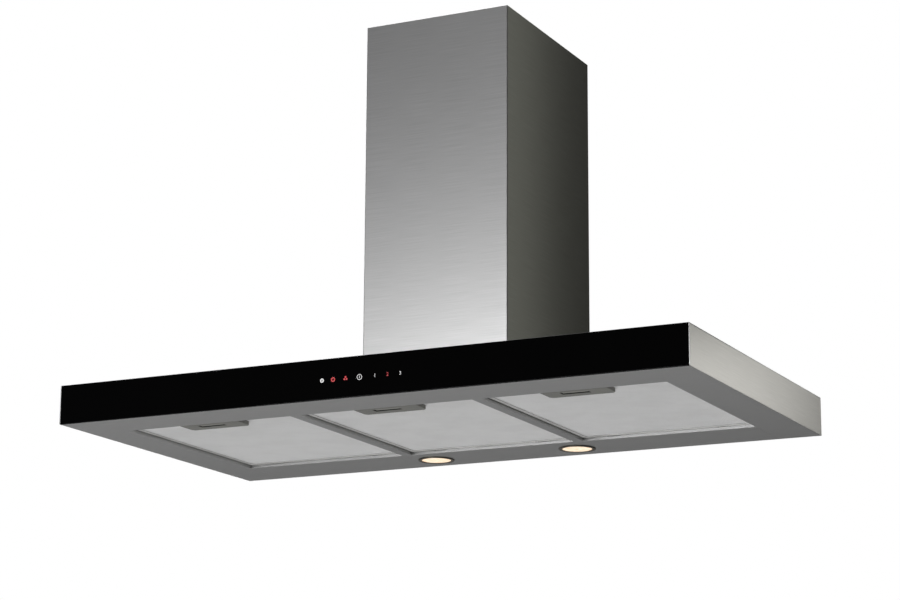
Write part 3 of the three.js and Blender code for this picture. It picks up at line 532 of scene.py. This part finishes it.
def geometry_tree(name, sizes):
    """A Geometry Nodes tree with a named input for each size and a geometry output."""
    tree = bpy.data.node_groups.new(name, "GeometryNodeTree")
    for label, kind in sizes:
        tree.interface.new_socket(label, in_out="INPUT", socket_type=kind)
    tree.interface.new_socket("Geometry", in_out="OUTPUT", socket_type="NodeSocketGeometry")
    return tree, add(tree, "NodeGroupInput").outputs


def finish_tree(tree, geometry, material):
    """Turns instances into mesh, gives them their material and closes the tree."""
    real = add(tree, "GeometryNodeRealizeInstances", None, {"Geometry": geometry})
    coated = add(tree, "GeometryNodeSetMaterial", None, {"Geometry": real.outputs[0], "Material": material})
    add(tree, "NodeGroupOutput", None, {"Geometry": coated.outputs[0]})


def grown(name, tree, values, points=()):
    """A plain mesh piece grown by a tree from its inputs' values, on the given points if it needs any."""
    mesh = bpy.data.meshes.new(name)
    mesh.from_pydata(points, [], [])
    piece = bpy.data.objects.new(name, mesh)
    bpy.context.scene.collection.objects.link(piece)
    modifier = piece.modifiers.new("growth", "NODES")
    modifier.node_group = tree
    for socket in tree.interface.items_tree:
        if socket.in_out == "INPUT" and socket.name in values:
            modifier[socket.identifier] = values[socket.name]
    bake_modifiers(piece)
    return piece


def times(tree, a, b):
    return add(tree, "ShaderNodeMath", {"operation": "MULTIPLY"}, {0: a, 1: b}).outputs[0]


def vector(tree, x=0.0, y=0.0, z=0.0):
    return add(tree, "ShaderNodeCombineXYZ", None, {"X": x, "Y": y, "Z": z}).outputs[0]


def spanned(tree, count, step):
    """The distance from the first to the last of a row."""
    gaps = add(tree, "ShaderNodeMath", {"operation": "SUBTRACT"}, {0: count, 1: 1}).outputs[0]
    return times(tree, gaps, step)


def moved(tree, geometry, way):
    inputs = {"Geometry": geometry, "Translation": way}
    return add(tree, "GeometryNodeTransform", None, inputs).outputs[0]


def repeated(tree, points, shape):
    """The shape on each point, as instances."""
    inputs = {"Points": points, "Instance": shape}
    return add(tree, "GeometryNodeInstanceOnPoints", None, inputs).outputs[0]


def expanded_metal_tree():
    """Slit and stretched sheet: rows of diamonds, every second row moved on by half a cell."""
    tree, given = geometry_tree(
        "expanded_metal",
        (
            ("Cells across", "NodeSocketInt"),
            ("Cells deep", "NodeSocketInt"),
            ("Cell length", "NodeSocketFloat"),
            ("Cell depth", "NodeSocketFloat"),
            ("Opening share", "NodeSocketFloat"),
            ("Strand", "NodeSocketFloat"),
            ("Middle", "NodeSocketVector"),
        ),
    )
    half_depth = times(tree, times(tree, given["Cell depth"], given["Opening share"]), 0.5)
    diamond = add(
        tree,
        "GeometryNodeCurvePrimitiveQuadrilateral",
        {"mode": "KITE"},
        {
            "Width": times(tree, given["Cell length"], given["Opening share"]),
            "Bottom Height": half_depth,
            "Top Height": half_depth,
        },
    )
    section = add(
        tree,
        "GeometryNodeCurvePrimitiveQuadrilateral",
        {"mode": "RECTANGLE"},
        {"Width": given["Strand"], "Height": given["Strand"]},
    )
    outline = {"Curve": diamond.outputs[0], "Profile Curve": section.outputs[0]}
    cell = add(tree, "GeometryNodeCurveToMesh", None, outline)
    quarter = [times(tree, given[label], 0.25) for label in ("Cell length", "Cell depth")]
    half_step = vector(tree, *quarter)
    both = add(tree, "GeometryNodeJoinGeometry")
    for direction in (1, -1):
        shift = add(tree, "ShaderNodeVectorMath", {"operation": "SCALE"}, {0: half_step, "Scale": direction})
        lattice = add(
            tree,
            "GeometryNodeMeshGrid",
            None,
            {
                "Vertices X": given["Cells across"],
                "Vertices Y": given["Cells deep"],
                "Size X": spanned(tree, given["Cells across"], given["Cell length"]),
                "Size Y": spanned(tree, given["Cells deep"], given["Cell depth"]),
            },
        )
        tree.links.new(moved(tree, lattice.outputs[0], shift.outputs[0]), both.inputs[0])
    cells = repeated(tree, both.outputs[0], cell.outputs[0])
    finish_tree(tree, moved(tree, cells, given["Middle"]), filter_mesh_metal)
    return tree


CELL_LENGTH, CELL_DEPTH = 7.0, 4.4  # one diamond, with its half of the strands round it
STRAND = 0.6
WOOL_GAP = 0.1  # between the expanded metal and the pad behind it


def make_filter_meshes():
    """Each filter's face is expanded metal over a pad of flattened aluminium wool."""
    tree = expanded_metal_tree()
    side = CELL_LENGTH * CELL_DEPTH / 2 / math.hypot(CELL_LENGTH, CELL_DEPTH)
    opening_share = (side - STRAND / 2) / side
    for number in (1, 2, 3):
        node = f"filter_{number}_mesh"
        lowest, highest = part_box(node)
        values = {
            "Cells across": int((highest[0] - lowest[0]) / MM / CELL_LENGTH) - 1,
            "Cells deep": int((highest[1] - lowest[1]) / MM / CELL_DEPTH) - 1,
            "Cell length": CELL_LENGTH * MM,
            "Cell depth": CELL_DEPTH * MM,
            "Opening share": opening_share,
            "Strand": STRAND * MM,
            "Middle": (
                (lowest[0] + highest[0]) / 2,
                (lowest[1] + highest[1]) / 2,
                lowest[2] + STRAND / 2 * MM,
            ),
        }
        face = grown(f"{node}_expanded_metal", tree, values)
        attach(face, body_of(node))
        bm = joined_copy(node)
        for vert in bm.verts:
            vert.co.z = max(vert.co.z, lowest[2] + (STRAND + WOOL_GAP) * MM)
        pad = settle(piece_from(f"{node}_wool_pad", bm, [filter_wool_metal]))
        stand_for(pad, node)


make_filter_meshes()


def screw_tree():
    """Pan heads with a cross recess, one on each point, pointing up."""
    tree, given = geometry_tree(
        "pan_head_screws",
        (
            ("Points", "NodeSocketGeometry"),
            ("Head radius", "NodeSocketFloat"),
            ("Head height", "NodeSocketFloat"),
            ("Recess width", "NodeSocketFloat"),
        ),
    )
    crown = add(
        tree,
        "GeometryNodeMeshCylinder",
        None,
        {"Vertices": 24, "Radius": given["Head radius"], "Depth": given["Head height"]},
    )
    length = times(tree, given["Head radius"], 1.2)
    to_top = vector(tree, z=times(tree, given["Head height"], 0.5))
    cut = add(tree, "GeometryNodeMeshBoolean", {"operation": "DIFFERENCE"}, {"Mesh 1": crown.outputs[0]})
    for x, y in ((length, given["Recess width"]), (given["Recess width"], length)):
        size = vector(tree, x, y, given["Head height"])
        blade = add(tree, "GeometryNodeMeshCube", None, {"Size": size}).outputs[0]
        tree.links.new(moved(tree, blade, to_top), cut.inputs["Mesh 2"])
    spots = add(tree, "GeometryNodeMeshToPoints", None, {"Mesh": given["Points"]})
    finish_tree(tree, repeated(tree, spots.outputs[0], cut.outputs[0]), zinc_plate)
    return tree


SCREW_RADIUS, SCREW_HEIGHT, RECESS_WIDTH = 3.4, 2.2, 1.0
BOX_SCREW_INSET, LID_SCREW_INSET = 9, 6  # from the edges of the blower box's back and the junction box's lid


def place_screws(name, tree, spots, node, turn):
    """Grows screws pointing up at the spots turned back, then turns them to face the right way."""
    values = {
        "Head radius": SCREW_RADIUS * MM,
        "Head height": SCREW_HEIGHT * MM,
        "Recess width": RECESS_WIDTH * MM,
    }
    back = turn.inverted()
    piece = grown(name, tree, values, [back @ Vector(spot) for spot in spots])
    piece.data.transform(turn)
    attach(piece, body_of(node))


def make_screws():
    """The sheet-metal screws of the blower box's back and of the junction box's lid."""
    tree = screw_tree()
    lowest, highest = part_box("blower_box")
    inset = BOX_SCREW_INSET * MM
    sides = (lowest[0] + inset, highest[0] - inset)
    levels = [lowest[2] + inset + i * (highest[2] - lowest[2] - 2 * inset) / 3 for i in range(4)]
    back = highest[1] + SCREW_HEIGHT / 2 * MM
    spots = [(x, back, z) for x in sides for z in levels]
    place_screws("blower_box_screws", tree, spots, "blower_box", Matrix.Rotation(-math.pi / 2, 4, "X"))
    lowest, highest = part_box("junction_box_lid")
    inset = LID_SCREW_INSET * MM
    top = highest[2] + SCREW_HEIGHT / 2 * MM
    sides = (lowest[0] + inset, highest[0] - inset)
    corners = [(x, y, top) for x in sides for y in (lowest[1] + inset, highest[1] - inset)]
    place_screws("junction_box_screws", tree, corners, "junction_box_lid", Matrix())


make_screws()


# ------------------------------------------------------------------ touch symbols on the glass

SYMBOL_RISE = -1.5  # height of the row
SYMBOL_PLACES = (-49, -33, -15, 5, 27, 45, 63)
ROUND_SIDES = 28
FONT_SIZE = 6.4


def plate(bm, outline, x):
    """A thin plate printed on the glass. outline is in millimetres about the symbol's middle."""
    face_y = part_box("glass_fascia")[0][1]
    corners = [bm.verts.new(((x + u) * MM, face_y, (SYMBOL_RISE + v) * MM)) for u, v in outline]
    face = bm.faces.new(corners)
    pushed = bmesh.ops.extrude_face_region(bm, geom=[face])
    moved = [v for v in pushed["geom"] if isinstance(v, bmesh.types.BMVert)]
    bmesh.ops.translate(bm, verts=moved, vec=(0, SYMBOL_THICKNESS * MM, 0))


def disc(radius, centre=(0, 0), sides=ROUND_SIDES):
    turns = [2 * math.pi / sides * i for i in range(sides)]
    return [(centre[0] + radius * math.cos(a), centre[1] + radius * math.sin(a)) for a in turns]


def ring(outer, inner):
    """Small four-cornered plates that follow a full circle."""
    turns = [math.radians(360 * i / ROUND_SIDES) for i in range(ROUND_SIDES + 1)]
    for a, b in zip(turns, turns[1:]):
        corners = ((outer, a), (outer, b), (inner, b), (inner, a))
        yield [(radius * math.cos(turn), radius * math.sin(turn)) for radius, turn in corners]


def print_on_glass(piece):
    """A symbol rides with the glass."""
    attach(piece, body_of("glass_fascia"))


def symbol(name, outlines, x, material):
    bm = bmesh.new()
    for outline in outlines:
        plate(bm, outline, x)
    bmesh.ops.remove_doubles(bm, verts=bm.verts, dist=0.001 * MM)
    bmesh.ops.recalc_face_normals(bm, faces=bm.faces)
    print_on_glass(piece_from(name, bm, [material]))


def bar(x0, x1, z0, z1):
    return [(x0, z0), (x1, z0), (x1, z1), (x0, z1)]


def numeral(name, text, x, material):
    """A printed number."""
    face_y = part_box("glass_fascia")[0][1]
    curve = bpy.data.curves.new(name, "FONT")
    curve.body = text
    curve.size = FONT_SIZE * MM
    curve.extrude = SYMBOL_THICKNESS / 2 * MM
    curve.align_x = "CENTER"
    curve.align_y = "CENTER"
    curve.resolution_u = 3
    writing = bpy.data.objects.new(name, curve)
    bpy.context.scene.collection.objects.link(writing)
    graph = bpy.context.evaluated_depsgraph_get()
    mesh = bpy.data.meshes.new_from_object(writing.evaluated_get(graph))
    bpy.data.objects.remove(writing)
    upright = Matrix.Rotation(math.pi / 2, 4, "X")
    place = Matrix.Translation((x * MM, face_y + SYMBOL_THICKNESS / 2 * MM, SYMBOL_RISE * MM))
    mesh.transform(place @ upright)
    mesh.materials.clear()
    mesh.materials.append(material)
    piece = bpy.data.objects.new(name, mesh)
    bpy.context.scene.collection.objects.link(piece)
    print_on_glass(piece)


def make_symbols():
    light, timer, fan, power, one, two, three = SYMBOL_PLACES
    symbol("symbol_light", [*ring(2.7, 1.3), disc(0.6)], light, symbol_white)
    symbol("symbol_timer", ring(3.1, 1.4), timer, symbol_red)
    blades = [disc(1.3, (1.8 * math.sin(a), 1.8 * math.cos(a)), 16) for a in (0, 2.094, 4.189)]
    symbol("symbol_fan", blades, fan, symbol_red)
    symbol("symbol_power", [*ring(3.7, 3.0), bar(-0.35, 0.35, -1.6, 1.9)], power, symbol_white)
    numeral("symbol_speed_1", "1", one, symbol_white)
    numeral("symbol_speed_2", "2", two, symbol_red)
    numeral("symbol_speed_3", "3", three, symbol_white)


make_symbols()


# ------------------------------------------------------------------ camera, floor and light

LENS, SENSOR_WIDTH = 101.5, 36
FARTHEST_SEEN = 100  # metres
CAMERA_PLACE = Vector((1495.4, -3265.7, -662.6)) * MM
CAMERA_TURN = math.radians(26.24)
CAMERA_RISE = math.radians(13.64)
CAMERA_ROLL = math.radians(0.32)
FLOOR_DROP = 900 * MM
FLOOR_RADIUS = 12  # metres
FLOOR_WASH = 0.85  # how far the floor seen by the camera is a pale, evenly lit studio sweep
DARK_CORNER = (0.43, 0.87, 0.24)  # the unlit side of the studio, behind the hood on the right


def make_camera():
    data = bpy.data.cameras.new("camera")
    data.lens = LENS
    data.sensor_width = SENSOR_WIDTH
    data.clip_end = FARTHEST_SEEN
    camera = bpy.data.objects.new("camera", data)
    look = Vector(
        (
            -math.sin(CAMERA_TURN) * math.cos(CAMERA_RISE),
            math.cos(CAMERA_TURN) * math.cos(CAMERA_RISE),
            math.sin(CAMERA_RISE),
        )
    )
    turn = look.to_track_quat("-Z", "Y").to_matrix() @ Matrix.Rotation(CAMERA_ROLL, 3, "Z")
    camera.matrix_world = Matrix.Translation(CAMERA_PLACE) @ turn.to_4x4()
    bpy.context.scene.collection.objects.link(camera)
    bpy.context.scene.camera = camera


def make_floor():
    """A pale floor that is clear from below, so that the underside can be seen from any height."""
    bm = bmesh.new()
    bmesh.ops.create_circle(bm, cap_ends=True, radius=FLOOR_RADIUS, segments=64)
    bmesh.ops.translate(bm, vec=(0, 0, -FLOOR_DROP), verts=bm.verts)
    material, tree = new_material("pale_matt_floor")
    place = add(tree, "ShaderNodeTexCoord").outputs["Object"]
    cloud = add(tree, "ShaderNodeTexNoise", None, {"Vector": place, "Scale": 2.0})
    paint = shades(tree, cloud.outputs["Fac"], [(0.0, "7b7b7a"), (1.0, "818180")])
    matt = add(tree, "ShaderNodeBsdfPrincipled", None, {"Base Color": paint, "Roughness": 0.8})
    lit = add(tree, "ShaderNodeEmission", None, {"Color": linear("f4f4f3"), "Strength": 0.92})
    seen = add(tree, "ShaderNodeLightPath").outputs["Is Camera Ray"]
    glow = add(tree, "ShaderNodeMath", {"operation": "MULTIPLY"}, {0: seen, 1: FLOOR_WASH}).outputs[0]
    washed = add(tree, "ShaderNodeMixShader", None, {0: glow, 1: matt.outputs[0], 2: lit.outputs[0]})
    clear = add(tree, "ShaderNodeBsdfTransparent")
    below = add(tree, "ShaderNodeNewGeometry").outputs["Backfacing"]
    mixed = add(tree, "ShaderNodeMixShader", None, {0: below, 1: washed.outputs[0], 2: clear.outputs[0]})
    close_material(tree, mixed)
    piece_from("floor", bm, [material])


def softbox(name, place, target, size, watts, colour, only):
    """A rectangular light that faces its target, with its lengths in millimetres. If only names pieces,
    it lights nothing else."""
    data = bpy.data.lights.new(name, "AREA")
    data.shape = "RECTANGLE"
    data.size, data.size_y = size[0] * MM, size[1] * MM
    data.energy = watts
    data.color = linear(colour)[:3]
    lamp = bpy.data.objects.new(name, data)
    place, target = Vector(place) * MM, Vector(target) * MM
    turn = (target - place).to_track_quat("-Z", "Y").to_matrix().to_4x4()
    lamp.matrix_world = Matrix.Translation(place) @ turn
    lamp.visible_camera = False
    bpy.context.scene.collection.objects.link(lamp)
    if only:
        lit = bpy.data.collections.new(f"{name}_lights")
        for piece in only:
            lit.objects.link(bpy.data.objects[piece])
        lamp.light_linking.receiver_collection = lit


def make_world():
    """White where the camera looks past the hood; for light and reflections, a grey studio with dark walls,
    a pale ceiling and one unlit corner."""
    world = bpy.data.worlds.new("studio")
    world.use_nodes = True
    tree = world.node_tree
    tree.nodes.clear()
    way = add(tree, "ShaderNodeTexCoord").outputs["Generated"]
    height = add(tree, "ShaderNodeSeparateXYZ", None, {"Vector": way}).outputs["Z"]
    tones = [(0.0, "a0a0a2"), (0.1, "747476"), (0.34, "262628"), (0.75, "505052"), (1.0, "c8c8ca")]
    walls = shades(tree, height, tones)
    toward = add(tree, "ShaderNodeVectorMath", {"operation": "DOT_PRODUCT"}, {0: way, 1: DARK_CORNER})
    near = add(
        tree,
        "ShaderNodeMapRange",
        {"interpolation_type": "SMOOTHSTEP"},
        {"Value": toward.outputs["Value"], "From Min": 0.45, "From Max": 0.98},
    )
    corner = linear("34342f")
    grey = add(tree, "ShaderNodeMixRGB", None, {"Fac": near.outputs[0], "Color1": walls, "Color2": corner})
    room = add(tree, "ShaderNodeBackground", None, {"Color": grey.outputs[0], "Strength": 1.0})
    white = add(tree, "ShaderNodeBackground", None, {"Color": (1, 1, 1, 1), "Strength": 1.0})
    seen = add(tree, "ShaderNodeLightPath").outputs["Is Camera Ray"]
    mixed = add(tree, "ShaderNodeMixShader", None, {0: seen, 1: room.outputs[0], 2: white.outputs[0]})
    add(tree, "ShaderNodeOutputWorld", None, {"Surface": mixed.outputs[0]})
    bpy.context.scene.world = world


CANOPY = ("canopy_shell_finished",)
COVERS = ("chimney_lower_cover_finished", "chimney_upper_cover_finished")
SOFTBOXES = (
    ("front_left_low", (-1000, -4400, 70), (0, -250, 200), (2500, 900), 92, "ffffff", None),
    ("overhead", (0, -600, 2400), (0, -200, 0), (2400, 2400), 90, "ffffff", None),
    ("back_left", (-2400, 2800, 1500), (0, -200, 150), (2200, 1600), 60, "ffffff", None),
    ("back_low", (-2300, 2500, -650), (0, -100, 150), (2600, 600), 40, "ffffff", CANOPY + COVERS),
    ("floor_bounce", (-300, -300, -880), (-300, -300, 0), (3400, 3400), 16, "ffffff", None),
    ("canopy_side", (980, 560, 150), (450, -320, 0), (400, 260), 0.85, "fffdf6", CANOPY),
    ("chimney_side", (340, 80, 320), (109, -200, 320), (160, 1000), 0.14, "fdffee", COVERS),
)

make_camera()
make_floor()
make_world()
for settings in SOFTBOXES:
    softbox(*settings)

bpy.context.scene.view_settings.view_transform = "Standard"
